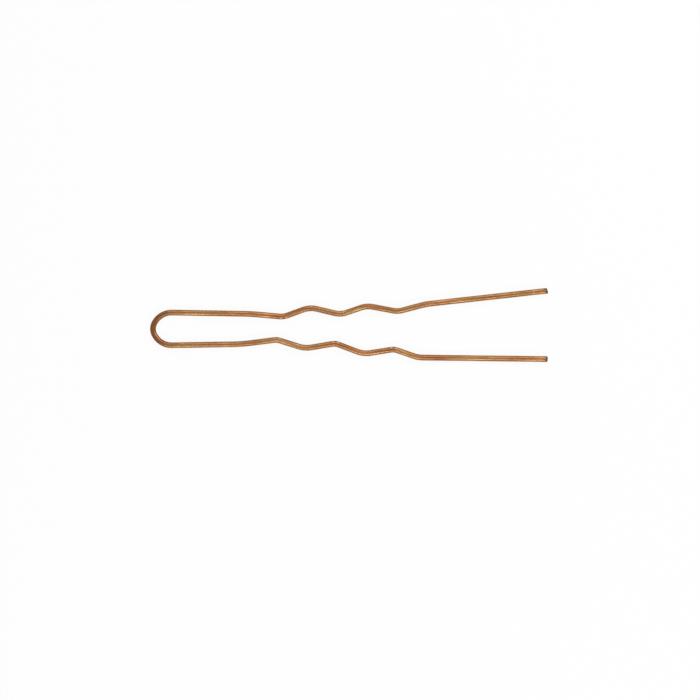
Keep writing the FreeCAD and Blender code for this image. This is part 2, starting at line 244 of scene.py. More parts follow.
class HAIRPIN_PG_finish(PropertyGroup):
    """Colours and gloss of the lacquer and the bare steel"""

    bronze: colour("Bronze", "Main colour of the lacquer", (0.297, 0.134, 0.038))
    bronze_light: colour("Light bronze", "Light streaks", (0.445, 0.24, 0.094))
    bronze_dark: colour("Dark bronze", "Dark streaks", (0.203, 0.071, 0.014))
    # Crown: painted shade, the lacquer darkened at the crown of the bow
    bronze_crown: colour("Crown", "Darker lacquer at the crown of the bow", (0.172, 0.041, 0.003))
    bronze_smudge: colour("Smudge", "Darker lacquer beside the cut ends", (0.125, 0.040, 0.009))
    bronze_edge: colour("Bronze edge", "Tint of the lacquer's shine seen at a low angle", (1.0, 0.76, 0.48))
    blush: colour("Blush", "Tint of the redder stretches of the lacquer", (1.0, 0.82, 0.68))
    # Rubbed: lacquer rubbed thin, made light enough to give the nicks painted highlights
    bronze_rubbed: colour("Rubbed", "Lacquer that the tools have rubbed thin", (0.76, 0.6, 0.47))
    steel: colour("Steel", "Smooth part of the cut face", (0.15, 0.12, 0.075))
    steel_edge: colour("Steel edge", "Tint of the steel seen at a low angle", (0.42, 0.36, 0.28))
    steel_torn: colour("Torn steel", "Rough part of the cut face", (0.06, 0.047, 0.03))
    flake: share("Metal flake", "How metallic the lacquer is", 0.55)
    specular: share("Specular", "Strength of the lacquer's own shine", 0.35)
    gloss_coat: share("Gloss", "Strength of the clear gloss", 0.4)
    gloss_roughness: share("Gloss roughness", "Roughness of the clear gloss", 0.1)


class HAIRPIN_PG_stage(PropertyGroup):
    """Floor, light and camera"""

    floor_colour: colour("Floor", "Colour of the floor", (0.92, 0.92, 0.92))
    whiteness: share("Whiteness", "How much of the floor is plain white to the eye", 0.93)
    shadow_reach: length("Shadow reach", "How far from the bow the floor starts to turn plain white", 180.0)
    floor_size: length("Floor size", "Side of the square floor", 6000.0)
    view_width: length("View width", "Width of the picture at the pin", 123.1)
    view_x: coordinate("View X", "Middle of the picture, along X", 32.39)
    view_y: coordinate("View Y", "Middle of the picture, along Y", -3.71)
    camera_height: length("Camera height", "From the floor to the camera", 600.0)
    ambient: share("Ambient", "Even light from all round", 0.3)
    key_power: power("Key power", "Long soft box on the right", 0.83)
    fill_power: power("Fill power", "Long soft box on the left", 0.7)
    end_power: power("End power", "Soft box beyond the left tip", 0.5)


class HAIRPIN_PG_settings(PropertyGroup):
    """All the sizes and colours of the pin"""

    wire: PointerProperty(type=HAIRPIN_PG_wire)
    bow: PointerProperty(type=HAIRPIN_PG_bow)
    left: PointerProperty(type=HAIRPIN_PG_left_leg)
    right: PointerProperty(type=HAIRPIN_PG_right_leg)
    marks: PointerProperty(type=HAIRPIN_PG_marks)
    finish: PointerProperty(type=HAIRPIN_PG_finish)
    stage: PointerProperty(type=HAIRPIN_PG_stage)


# Routes of the wire's axis

def shank_way(side):
    """The direction of a shank, from the bow on."""
    return (HINGES[f"{side}_crimp"] - HINGES[f"{side}_shank"]).normalized()


def tip_way(side):
    """The direction of a tip, towards its cut end."""
    return Vector(TIP_PINS[side]["axis"]).normalized()


def crossing(first, first_way, second, second_way):
    """The point where two flat lines cross."""
    gap = second - first
    turn = first_way.x * second_way.y - first_way.y * second_way.x
    reach = (gap.x * second_way.y - gap.y * second_way.x) / turn
    return first + first_way * reach


def turn_at(before, corner, after):
    """The angle by which a route turns at a corner."""
    return (corner - before).angle(after - corner)


def bow_route(settings):
    """The bow's corners, from the right shank's hinge round to the left one. Its arcs meet smoothly."""
    crown = settings.bow.crown_radius
    half = settings.bow.crown_angle
    height = HINGES["left_shank"].z
    top = Vector((-crown / math.cos(half), 0.0, height))
    shoulders = {}
    for side, sign in SIDES.items():
        radial = Vector((-math.cos(half), sign * math.sin(half), 0.0))
        junction = radial * crown + UP * height
        hinge = HINGES[f"{side}_shank"]
        corner = crossing(hinge, shank_way(side), junction, UP.cross(radial))
        radius = (corner - junction).length / math.tan(turn_at(top, corner, hinge) / 2)
        shoulders[side] = Corner(corner, radius)
    return [
        Corner(HINGES["right_shank"], 0.0), shoulders["right"], Corner(top, crown), shoulders["left"],
        Corner(HINGES["left_shank"], 0.0),
    ]


def shank_route(side):
    """A straight shank, from hinge to hinge."""
    return [Corner(HINGES[f"{side}_shank"], 0.0), Corner(HINGES[f"{side}_crimp"], 0.0)]


def crimp_route(settings, side):
    """A crimp's corners from hinge to hinge: bend, three kinks with two crests between them, and knee."""
    leg = getattr(settings, side)
    start = HINGES[f"{side}_crimp"]
    bend = start + shank_way(side) * leg.bend_setback
    steps = (
        (leg.bend_lead, leg.kink_offset_1, leg.kink_radius),
        (leg.kink_rise, leg.crest_offset_1, leg.crest_radius),
        (leg.kink_fall, leg.kink_offset_2, leg.kink_radius),
        (leg.kink_rise, leg.crest_offset_2, leg.crest_radius),
        (leg.kink_fall, leg.kink_offset_3, leg.kink_radius),
        (leg.knee_lead, leg.knee_offset, leg.knee_radius),
    )
    route = [Corner(start, 0.0), Corner(bend, leg.bend_radius)]
    station = bend.x
    for lead, offset, radius in steps:
        station += lead
        route.append(Corner(Vector((station, SIDES[side] * offset, start.z)), radius))
    route.append(Corner(HINGES[f"{side}_tip"], 0.0))
    return route


def tip_route(settings, side):
    """A straight tip, from its hinge to the far edge of its cut end."""
    start = HINGES[f"{side}_tip"]
    return [Corner(start, 0.0), Corner(start + tip_way(side) * getattr(settings, side).tip_length, 0.0)]


def route_length(route):
    """The length of a route along its runs and rounded corners."""
    total = sum((second.place - first.place).length for first, second in zip(route, route[1:]))
    for before, corner, after in zip(route, route[1:], route[2:]):
        turn = turn_at(before.place, corner.place, after.place)
        total -= corner.radius * (2 * math.tan(turn / 2) - turn)
    return total


# Nodes

def fill_inputs(tree, node, inputs):
    """Give each input of a node a value, or another node's output to follow."""
    for name, value in inputs.items():
        if isinstance(value, bpy.types.NodeSocket):
            tree.links.new(value, node.inputs[name])
        else:
            node.inputs[name].default_value = value


def add_node(tree, kind, inputs=None, **settings):
    """Add a node with its own settings, and fill its inputs."""
    node = tree.nodes.new(kind)
    for name, value in settings.items():
        setattr(node, name, value)
    fill_inputs(tree, node, inputs or {})
    return node


def add_math(tree, operation, *values):
    """Add a sum on numbers, and give its result."""
    return add_node(tree, "ShaderNodeMath", dict(enumerate(values)), operation=operation).outputs["Value"]


def add_vector_math(tree, operation, *values):
    """Add a sum on vectors, and give its outputs."""
    return add_node(tree, "ShaderNodeVectorMath", dict(enumerate(values)), operation=operation).outputs


def swept_wire():
    """The geometry nodes that sweep wire along a route and note each point's place on the straight wire."""
    name = "swept_wire"
    if name in bpy.data.node_groups:
        return bpy.data.node_groups[name]
    tree = bpy.data.node_groups.new(name, "GeometryNodeTree")
    for label, kind in (
        ("Route", "NodeSocketGeometry"), ("Radius", "NodeSocketFloat"), ("Ring spacing", "NodeSocketFloat"),
        ("Sides", "NodeSocketInt"), ("Arc steps", "NodeSocketInt"), ("Start", "NodeSocketFloat"),
        ("Direction", "NodeSocketFloat"), ("Capped", "NodeSocketBool"), ("Material", "NodeSocketMaterial"),
    ):
        tree.interface.new_socket(label, in_out="INPUT", socket_type=kind)
    tree.interface.new_socket("Wire", in_out="OUTPUT", socket_type="NodeSocketGeometry")
    given = add_node(tree, "NodeGroupInput").outputs

    line = add_node(tree, "GeometryNodeMeshToCurve", {"Mesh": given["Route"]})
    radius = add_node(tree, "GeometryNodeInputNamedAttribute", {"Name": BEND_RADIUS}, data_type="FLOAT")
    rounded = add_node(
        tree, "GeometryNodeFilletCurve",
        {"Curve": line.outputs["Curve"], "Count": given["Arc steps"], "Radius": radius.outputs["Attribute"]},
        mode="POLY",
    )
    stepped = add_node(
        tree, "GeometryNodeResampleCurve",
        {"Curve": rounded.outputs["Curve"], "Length": given["Ring spacing"]},
        mode="LENGTH",
    )
    upright = add_node(tree, "GeometryNodeSetCurveNormal", {"Curve": stepped.outputs["Curve"]}, mode="Z_UP")

    axis = add_node(tree, "GeometryNodeCaptureAttribute", domain="POINT")
    for kind, label in (("VECTOR", "Centre"), ("VECTOR", "Way"), ("FLOAT", "Along")):
        axis.capture_items.new(kind, label)
    here = add_node(tree, "GeometryNodeInputPosition").outputs["Position"]
    fill_inputs(tree, axis, {
        "Geometry": upright.outputs["Curve"],
        "Centre": here,
        "Way": add_node(tree, "GeometryNodeInputTangent").outputs["Tangent"],
        "Along": add_node(tree, "GeometryNodeSplineParameter").outputs["Length"],
    })

    section = add_node(
        tree, "GeometryNodeCurvePrimitiveCircle",
        {"Resolution": given["Sides"], "Radius": given["Radius"]},
        mode="RADIUS",
    )
    swept = add_node(
        tree, "GeometryNodeCurveToMesh",
        {
            "Curve": axis.outputs["Geometry"], "Profile Curve": section.outputs["Curve"],
            "Fill Caps": given["Capped"],
        },
    )

    out = add_vector_math(tree, "SUBTRACT", here, axis.outputs["Centre"])["Vector"]
    beside = add_vector_math(tree, "CROSS_PRODUCT", tuple(UP), axis.outputs["Way"])["Vector"]
    across = add_vector_math(tree, "DOT_PRODUCT", out, beside)["Value"]
    height = add_vector_math(tree, "DOT_PRODUCT", out, tuple(UP))["Value"]
    station = add_math(tree, "ADD", given["Start"], axis.outputs["Along"])
    straight = add_node(
        tree, "ShaderNodeCombineXYZ",
        {
            "X": add_math(tree, "MULTIPLY", station, given["Direction"]),
            "Y": add_math(tree, "MULTIPLY", across, given["Direction"]),
            "Z": height,
        },
    )
    noted = add_node(
        tree, "GeometryNodeStoreNamedAttribute",
        {"Geometry": swept.outputs["Mesh"], "Name": WIRE_PLACE, "Value": straight.outputs["Vector"]},
        data_type="FLOAT_VECTOR", domain="POINT",
    )
    smooth = add_node(tree, "GeometryNodeSetShadeSmooth", {"Geometry": noted.outputs["Geometry"]})
    real = add_node(tree, "GeometryNodeRealizeInstances", {"Geometry": smooth.outputs["Geometry"]})
    painted = add_node(
        tree, "GeometryNodeSetMaterial", {"Geometry": real.outputs["Geometry"], "Material": given["Material"]}
    )
    add_node(tree, "NodeGroupOutput", {"Wire": painted.outputs["Geometry"]})
    return tree


# Materials

# Sockets that a mix node uses for colours
COLOUR_MIX_INPUTS = (0, 6, 7)
COLOUR_MIX_RESULT = 2

# Patterns: cells per millimetre along, across and up the wire, and the depth of their detail
Pattern = namedtuple("Pattern", "stretch detail")
STREAKS = Pattern((0.22, 3.4, 3.4), 3.0)
THREADS = Pattern((0.75, 9.0, 9.0), 2.0)
CLOUDS = Pattern((0.16, 0.5, 0.5), 2.0)
DRIFT = Pattern((0.07, 0.3, 0.3), 1.0)
SCRATCHES = Pattern((0.4, 15.0, 15.0), 2.0)
DRAWN_LINES = Pattern((0.05, 22.0, 22.0), 2.0)
SWELLS = Pattern((1.5, 2.4, 2.4), 2.0)
GRAIN = Pattern((11.0, 11.0, 11.0), 4.0)
SCRAPES = Pattern((5.0, 34.0, 4.0), 2.0)

# Lacquer: shares of the patterns in its tone, and the tones between which it changes
STREAK_WEIGHT = 0.55
THREAD_WEIGHT = 0.25
CLOUD_WEIGHT = 0.2
DARK_TONES = (0.39, 0.49)
LIGHT_TONES = (0.51, 0.61)
DULL_TONES = (0.38, 0.62)
DARK_ROUGHNESS = 0.32
LIGHT_ROUGHNESS = 0.2
BLUSH_DRIFT = (0.42, 0.62)

# Lacquer: the crown's painted shade and where along the wire it fades, the smudges, the pits, and the
# rubbing, lightened at the nicks as painted glints
CROWN_FADE = (2.0 * MM, 6.0 * MM)
CROWN_SHADE = 0.8
SMUDGE_SHADE = 0.7
PIT_GRID = (1.1, 2.0, 2.0)
PIT_SIZE = 0.09
PIT_SHARE = 0.5
PIT_SHADE = 0.6
SCRATCH_WEIGHT = 1.2
RUB_GLINT_RANGE = (0.8, 1.9)
WORN_ROUGHNESS = 0.08

# Lacquer: relief of the drawing lines and of the swells and pits
LINE_STRENGTH = 0.4
LINE_DEPTH = 0.0025 * MM
SWELL_STRENGTH = 0.5
SWELL_DEPTH = 0.01 * MM

# Steel: the uneven edge between the wiped and the torn part, their tones, roughness and relief
EDGE_GRAIN = (0.3, 0.7)
EDGE_WANDER = 0.18
TORN_EDGE = (0.34, 0.46)
SCRAPE_TONES = (0.4, 0.62)
GRAIN_TONES = (0.38, 0.62)
WIPED_ROUGHNESS = 0.3
TORN_ROUGHNESS = 0.55
SCRAPE_HEIGHT = 0.3
RELIEF_STRENGTH = 0.8
RELIEF_DEPTH = 0.02 * MM


def new_material(name):
    """An empty material with its main shader."""
    material = bpy.data.materials.new(name)
    material.use_nodes = True
    return material, material.node_tree, material.node_tree.nodes["Principled BSDF"]


def stretched(tree, place, stretch):
    """A place in cells per millimetre. A small first number makes a pattern long along the wire."""
    scale = tuple(number / MM for number in stretch)
    return add_node(tree, "ShaderNodeMapping", {"Vector": place, "Scale": scale}).outputs["Vector"]


def pattern(tree, place, kind):
    """Noise of one kind on a place."""
    inputs = {"Vector": stretched(tree, place, kind.stretch), "Scale": 1.0, "Detail": kind.detail}
    return add_node(tree, "ShaderNodeTexNoise", inputs).outputs["Fac"]


def specks(tree, place, stretch, size, share_kept):
    """Small round spots on a place, in a share of the cells of a loose grid: 1 in a spot and 0 beside it."""
    grid = {"Vector": stretched(tree, place, stretch), "Scale": 1.0}
    cells = add_node(tree, "ShaderNodeTexVoronoi", grid).outputs
    spot = spread(tree, cells["Distance"], size / 2, size, 1.0, 0.0)
    drawn = add_node(tree, "ShaderNodeSeparateColor", {"Color": cells["Color"]}).outputs["Red"]
    return add_math(tree, "MULTIPLY", spot, add_math(tree, "LESS_THAN", drawn, share_kept))


def spread(tree, value, low, high, to_low=0.0, to_high=1.0):
    """Stretch a range of numbers smoothly to another."""
    inputs = {"Value": value, "From Min": low, "From Max": high, "To Min": to_low, "To Max": to_high}
    return add_node(tree, "ShaderNodeMapRange", inputs, interpolation_type="SMOOTHSTEP").outputs["Result"]


def blend_colours(tree, factor, first, second, how="MIX"):
    """Mix two colours, or tint the first with the second."""
    mix = add_node(tree, "ShaderNodeMix", data_type="RGBA", blend_type=how)
    for number, value in zip(COLOUR_MIX_INPUTS, (factor, first, second)):
        linked = isinstance(value, bpy.types.NodeSocket)
        fill_inputs(tree, mix, {number: value if linked else (*value, 1.0)})
    return mix.outputs[COLOUR_MIX_RESULT]


def bronze_lacquer(name, finish):
    """Bronze lacquer: streaks along the wire, painted shade at the crown, smudged ends and spots rubbed at
    the nicks, lightened there as painted glints.
    """
    material, tree, shader = new_material(name)
    place = add_node(tree, "ShaderNodeAttribute", attribute_name=WIRE_PLACE).outputs["Vector"]
    rubbed = add_node(tree, "ShaderNodeAttribute", attribute_name=RUB_AND_GLINT).outputs["Fac"]
    near_cut = add_node(tree, "ShaderNodeAttribute", attribute_name=CUT_FACE).outputs["Fac"]

    threads = add_math(tree, "MULTIPLY", pattern(tree, place, THREADS), THREAD_WEIGHT)
    clouded = add_math(tree, "MULTIPLY_ADD", pattern(tree, place, CLOUDS), CLOUD_WEIGHT, threads)
    tone = add_math(tree, "MULTIPLY_ADD", pattern(tree, place, STREAKS), STREAK_WEIGHT, clouded)
    dark = blend_colours(tree, spread(tree, tone, *DARK_TONES), finish.bronze_dark, finish.bronze)
    light = blend_colours(tree, spread(tree, tone, *LIGHT_TONES), dark, finish.bronze_light)

    redder = spread(tree, pattern(tree, place, DRIFT), *BLUSH_DRIFT)
    warm = blend_colours(tree, redder, light, finish.blush, how="MULTIPLY")
    station = add_node(tree, "ShaderNodeSeparateXYZ", {"Vector": place}).outputs["X"]
    # Painted shade: the lacquer is darkened at the crown of the bow, fading out along the wire
    crown = spread(tree, add_math(tree, "ABSOLUTE", station), *CROWN_FADE, CROWN_SHADE, 0.0)
    crown_shaded = blend_colours(tree, crown, warm, finish.bronze_crown)

    smudge = add_math(tree, "MULTIPLY", near_cut, SMUDGE_SHADE)
    smudged = blend_colours(tree, smudge, crown_shaded, finish.bronze_smudge)
    pits = add_math(tree, "MULTIPLY", specks(tree, place, PIT_GRID, PIT_SIZE, PIT_SHARE), PIT_SHADE)
    pitted = blend_colours(tree, pits, smudged, finish.bronze_dark)
    # Rubbed spots: rubbed lacquer at the gripper's mark, and at the nicks also painted glints
    rub_glint_level = add_math(tree, "MULTIPLY_ADD", pattern(tree, place, SCRATCHES), SCRATCH_WEIGHT, rubbed)
    rub_glint_share = spread(tree, rub_glint_level, *RUB_GLINT_RANGE)
    shown = blend_colours(tree, rub_glint_share, pitted, finish.bronze_rubbed)
    dull = spread(tree, tone, *DULL_TONES, DARK_ROUGHNESS, LIGHT_ROUGHNESS)

    lines = add_node(
        tree, "ShaderNodeBump",
        {"Height": pattern(tree, place, DRAWN_LINES), "Strength": LINE_STRENGTH, "Distance": LINE_DEPTH},
    )
    swell = add_math(tree, "SUBTRACT", pattern(tree, place, SWELLS), pits)
    peel = add_node(
        tree, "ShaderNodeBump",
        {
            "Height": swell, "Strength": SWELL_STRENGTH, "Distance": SWELL_DEPTH,
            "Normal": lines.outputs["Normal"],
        },
    )
    fill_inputs(tree, shader, {
        "Base Color": shown,
        "Roughness": add_math(tree, "MULTIPLY_ADD", rub_glint_share, WORN_ROUGHNESS, dull),
        "Normal": peel.outputs["Normal"],
        "Metallic": finish.flake,
        "Specular IOR Level": finish.specular,
        "Specular Tint": (*finish.bronze_edge, 1.0),
        "Coat Weight": finish.gloss_coat,
        "Coat Roughness": finish.gloss_roughness,
    })
    return material


def bare_steel(name, finish):
    """Drawn steel, smooth where the shear wiped the cut face and torn below."""
    material, tree, shader = new_material(name)
    place = add_node(tree, "ShaderNodeTexCoord").outputs["Object"]
    torn = add_node(tree, "ShaderNodeAttribute", attribute_name=CUT_FACE).outputs["Fac"]
    grain = pattern(tree, place, GRAIN)
    scrapes = pattern(tree, place, SCRAPES)
    wander = spread(tree, grain, *EDGE_GRAIN, -EDGE_WANDER, EDGE_WANDER)
    rough_part = spread(tree, add_math(tree, "ADD", torn, wander), *TORN_EDGE)
    scraped = spread(tree, scrapes, *SCRAPE_TONES)
    smooth_steel = blend_colours(tree, scraped, finish.steel, finish.steel_torn)
    torn_steel = blend_colours(tree, spread(tree, grain, *GRAIN_TONES), finish.steel_torn, finish.steel)
    torn_height = add_math(tree, "MULTIPLY", grain, rough_part)
    height = add_math(tree, "MULTIPLY_ADD", scrapes, SCRAPE_HEIGHT, torn_height)
    relief = add_node(
        tree, "ShaderNodeBump", {"Height": height, "Strength": RELIEF_STRENGTH, "Distance": RELIEF_DEPTH}
    )
    fill_inputs(tree, shader, {
        "Base Color": blend_colours(tree, rough_part, smooth_steel, torn_steel),
        "Roughness": spread(tree, rough_part, 0.0, 1.0, WIPED_ROUGHNESS, TORN_ROUGHNESS),
        "Normal": relief.outputs["Normal"],
        "Metallic": 1.0,
        "Specular Tint": (*finish.steel_edge, 1.0),
    })
    return material


MATERIALS = {"bronze_lacquer": bronze_lacquer, "bare_steel": bare_steel}


def wire_material(settings, slot):
    """The finish of a slot, made once."""
    name = f"{slot}_finish"
    return bpy.data.materials.get(name) or MATERIALS[slot](name, settings.finish)


# Meshes

# Share of the ring spacing within which a ring of points counts as the end one
END_RING = 1 / 3

# Width of the film's sags round the wire, in wire diameters
SAG_WIDTH = 0.6

# How sharply the rubbed lacquer, lightened as a painted glint, ends round a nick
RUB_GLINT_EDGE = 4

# Corners of the wire's side faces, and the least share of a cut face's normal that points ahead
SIDE_CORNERS = 4
FACING_AHEAD = 0.5

# Where the torn part of a cut face starts and where it is at its roughest, as shares of its height from above
TEAR_STARTS = 1 / 3
TEAR_FULL = 0.75


def read_points(mesh):
    """The places of a mesh's points, as rows."""
    flat = np.empty(len(mesh.vertices) * 3)
    mesh.vertices.foreach_get("co", flat)
    return flat.reshape(-1, 3)


def write_points(mesh, points):
    """Put a mesh's points in new places."""
    mesh.vertices.foreach_set("co", points.ravel())
    mesh.update()


def read_places(mesh):
    """Where each point was on the straight wire, as rows."""
    flat = np.empty(len(mesh.vertices) * 3)
    mesh.attributes[WIRE_PLACE].data.foreach_get("vector", flat)
    return flat.reshape(-1, 3)


def note_number(mesh, name, values):
    """Keep a number at each point of a mesh."""
    attribute = mesh.attributes.get(name) or mesh.attributes.new(name, "FLOAT", "POINT")
    attribute.data.foreach_set("value", values.astype(np.float32))


def ease(values):
    """Turn shares from 0 to 1 into a smooth rise."""
    values = np.clip(values, 0.0, 1.0)
    return values * values * (3 - 2 * values)


def settle(piece):
    """Turn a piece and its modifiers into a plain mesh."""
    bpy.context.view_layer.update()
    graph = bpy.context.evaluated_depsgraph_get()
    made = bpy.data.meshes.new_from_object(
        piece.evaluated_get(graph), preserve_all_data_layers=True, depsgraph=graph
    )
    piece.modifiers.clear()
    drawn = piece.data
    piece.data = made
    bpy.data.meshes.remove(drawn)
    made.name = piece.name


def sweep_layer(settings, name, layer, route, start, direction):
    """Sweep one layer of the wire along a route, open at both ends for the coat and capped for the steel."""
    mesh = bpy.data.meshes.new(name)
    mesh.from_pydata([corner.place for corner in route], [(n, n + 1) for n in range(len(route) - 1)], [])
    note_number(mesh, BEND_RADIUS, np.array([corner.radius for corner in route]))
    piece = bpy.data.objects.new(name, mesh)
    bpy.context.scene.collection.objects.link(piece)
    tree = swept_wire()
    keys = {item.name: item.identifier for item in tree.interface.items_tree if item.in_out == "INPUT"}
    sweep = piece.modifiers.new("sweep", "NODES")
    sweep.node_group = tree
    values = {
        "Radius": layer_radius(settings, layer), "Ring spacing": settings.wire.ring_spacing,
        "Sides": settings.wire.side_count, "Arc steps": settings.wire.arc_steps, "Start": start,
        "Direction": float(direction), "Capped": LAYERS[layer].capped,
        "Material": wire_material(settings, LAYERS[layer].slot),
    }
    for label, value in values.items():
        sweep[keys[label]] = value
    settle(piece)
    note_number(piece.data, RUB_AND_GLINT, np.zeros(len(piece.data.vertices)))
    return piece


def layer_radius(settings, layer):
    """The outer radius of a layer of the wire."""
    outer = settings.wire.coated_diameter / 2
    return outer if layer == "coat" else outer - settings.wire.film


def square_end(settings, piece, hinge, way):
    """Bring the last ring of a piece square to the wire at a hinge, so that the next piece meets it."""
    points = read_points(piece.data)
    gap = points - np.array(hinge)
    reach = gap @ np.array(way)
    beside = np.linalg.norm(gap, axis=1) < settings.wire.coated_diameter
    near = beside & (np.abs(reach) < settings.wire.ring_spacing * END_RING)
    points[near] -= np.outer(reach[near], np.array(way))
    write_points(piece.data, points)


def wall_coat(settings, piece):
    """Give the coat its thickness, inwards to the steel, and let its outside sag between high spots."""
    marks = settings.marks
    tube = piece.data
    count = len(tube.vertices)
    normals = np.empty(count * 3)
    tube.vertices.foreach_get("normal", normals)
    round_scale = 1 / (SAG_WIDTH * settings.wire.coated_diameter)
    places = read_places(tube) * np.array((1 / marks.wave_length, round_scale, round_scale))
    sag = np.array([noise.noise(Vector(place)) - 1 for place in places]) * marks.film_wave

    wall = piece.modifiers.new("wall", "SOLIDIFY")
    wall.thickness = settings.wire.film
    wall.offset = -1.0
    wall.use_even_offset = True
    wall.use_rim = True
    settle(piece)
    points = read_points(piece.data)
    points[:count] += normals.reshape(-1, 3) * sag[:, None]
    write_points(piece.data, points)


def press_flat(points, centre, along, outward, radius, span, depth):
    """Press a shallow flat into the wire about a point of its axis."""
    gap = points - np.array(centre)
    reach = np.abs(gap @ np.array(along))
    height = gap @ np.array(outward)
    level = radius - depth * ease(1 - reach / (span / 2))
    near = (reach < span / 2) & (height > level)
    points[near] -= np.outer((height - level)[near], np.array(outward))


def kink_nicks(settings, side):
    """The nicks at a leg's kinks: a point of the axis, the wire's way there, the side pressed and the rub,
    which also sets a painted glint.
    """
    marks = settings.marks
    leg = getattr(settings, side)
    route = crimp_route(settings, side)
    found = []
    for number, rub in zip(KINK_CORNERS, (leg.rub_1, leg.rub_2, leg.rub_3)):
        before, corner, after = (route[number + step].place for step in (-1, 0, 1))
        radius = route[number].radius
        back = (before - corner).normalized()
        ahead = (after - corner).normalized()
        inside = (back + ahead).normalized()
        turn = turn_at(before, corner, after)
        middle = corner + inside * (radius / math.cos(turn / 2))
        for end in (-1, 1):
            swing = Matrix.Rotation(end * marks.nick_spacing / (2 * radius), 3, UP)
            outside = swing @ -inside
            along = UP.cross(outside)
            for lift in (-1, 1):
                pressed = outside * math.cos(marks.nick_tilt) + UP * (lift * math.sin(marks.nick_tilt))
                found.append((middle + outside * radius, along, pressed, rub))
    return found


def press_nicks(settings, piece, layer, side):
    """Press the tool nicks into a crimp and note where its lacquer is rubbed, which is also lightened as
    painted glints.
    """
    marks = settings.marks
    radius = layer_radius(settings, layer)
    points = read_points(piece.data)
    rubbed = np.zeros(len(points))
    for centre, along, outward, rub in kink_nicks(settings, side):
        press_flat(points, centre, along, outward, radius, marks.nick_length, marks.nick_depth)
        spot = np.array(centre + outward * radius)
        apart = np.linalg.norm(points - spot, axis=1)
        rubbed = np.maximum(rubbed, rub * np.exp(-(apart / marks.rub_glint_reach) ** RUB_GLINT_EDGE))
    write_points(piece.data, points)
    note_number(piece.data, RUB_AND_GLINT, rubbed)


def cut_tip(settings, piece, layer, side):
    """Shear a tip off on a slant: crowd its rings to the cut, roll the upper edge in and tear the lower."""
    marks = settings.marks
    leg = getattr(settings, side)
    radius = layer_radius(settings, layer)
    hinge = np.array(HINGES[f"{side}_tip"])
    way = np.array(tip_way(side))
    beside = np.array(UP.cross(tip_way(side)))
    points = read_points(piece.data)
    gap = points - hinge
    along, across, height = gap @ way, gap @ beside, gap @ np.array(UP)

    slope_up = math.tan(marks.cut_slant) / math.cos(leg.cut_skew)
    slope_out = SIDES[side] * math.tan(leg.cut_skew)
    steepest = math.hypot(math.tan(marks.cut_slant), math.tan(leg.cut_skew))
    middle = leg.tip_length - settings.wire.coated_diameter / 2 * steepest
    from_end = leg.tip_length - along
    from_end = from_end * (1 - np.exp(-from_end / marks.crowding))
    cut = middle - slope_out * across - slope_up * height
    along = cut - from_end * cut / leg.tip_length

    upper = ease((height / radius + 1) / 2)
    rolled = marks.roll_depth * upper * np.clip(1 - from_end / marks.roll_length, 0, 1) ** 2
    inward = 1 - rolled / radius
    around = np.column_stack((np.zeros(len(points)), across, height)) / marks.tear_grain
    ragged = np.array([noise.noise(Vector(spot)) for spot in around]) - 1
    torn_back = (1 - upper) * marks.burr + (marks.film_tear if layer == "coat" else 0.0)
    along = along + ragged * torn_back * np.exp(-from_end / marks.crowding)
    moved = (
        hinge + np.outer(along, way) + np.outer(across * inward, beside)
        + np.outer(height * inward, np.array(UP))
    )
    write_points(piece.data, moved)
    if layer == "coat":
        note_number(piece.data, CUT_FACE, np.exp(-(from_end / marks.smudge) ** 2))
    places = read_places(piece.data)
    places[:, 0] += SIDES[side] * (along - gap @ way)
    piece.data.attributes[WIRE_PLACE].data.foreach_set("vector", places.ravel().astype(np.float32))


def face_cut(settings, piece, side):
    """Give the steel of a tip its cut face: rings inside its rim, smooth above and torn below."""
    marks = settings.marks
    radius = layer_radius(settings, "steel")
    way = tip_way(side)
    axis_height = HINGES[f"{side}_tip"].z
    made = bmesh.new()
    made.from_mesh(piece.data)
    torn = made.verts.layers.float.new(CUT_FACE)
    caps = [face for face in made.faces if len(face.verts) > SIDE_CORNERS]
    face = max(caps, key=lambda cap: cap.calc_center_median().x)
    centre = face.calc_center_median()
    for inner in range(marks.face_rings, 0, -1):
        face = bmesh.ops.extrude_discrete_faces(made, faces=[face])["faces"][0]
        for vertex in face.verts:
            vertex.co = centre.lerp(vertex.co, inner / (inner + 1))
    bmesh.ops.poke(made, faces=[face])
    made.normal_update()
    cut = {face for face in made.faces if face.normal.dot(way) > FACING_AHEAD}
    for vertex in {vertex for face in cut for vertex in face.verts}:
        depth_share = (1 - (vertex.co.z - axis_height) / radius) / 2
        vertex[torn] = depth_share
        if cut.issuperset(vertex.link_faces):
            rough = float(ease(np.array((depth_share - TEAR_STARTS) / (TEAR_FULL - TEAR_STARTS))))
            vertex.co += way * (noise.noise(vertex.co / marks.tear_grain) * marks.tear * rough)
    made.to_mesh(piece.data)
    made.free()
    piece.data.update()


def press_grip(settings, piece, layer):
    """Press the gripper's mark across the left tip, above and below."""
    marks = settings.marks
    radius = layer_radius(settings, layer)
    way = tip_way("left")
    centre = HINGES["left_tip"] + way * marks.grip_station
    points = read_points(piece.data)
    for outward in (UP, -UP):
        press_flat(points, centre, way, outward, radius, marks.grip_width, marks.grip_depth)
    reach = np.abs((points - np.array(centre)) @ np.array(way))
    write_points(piece.data, points)
    note_number(piece.data, RUB_AND_GLINT, marks.grip_rub * ease(1 - reach / marks.grip_width))


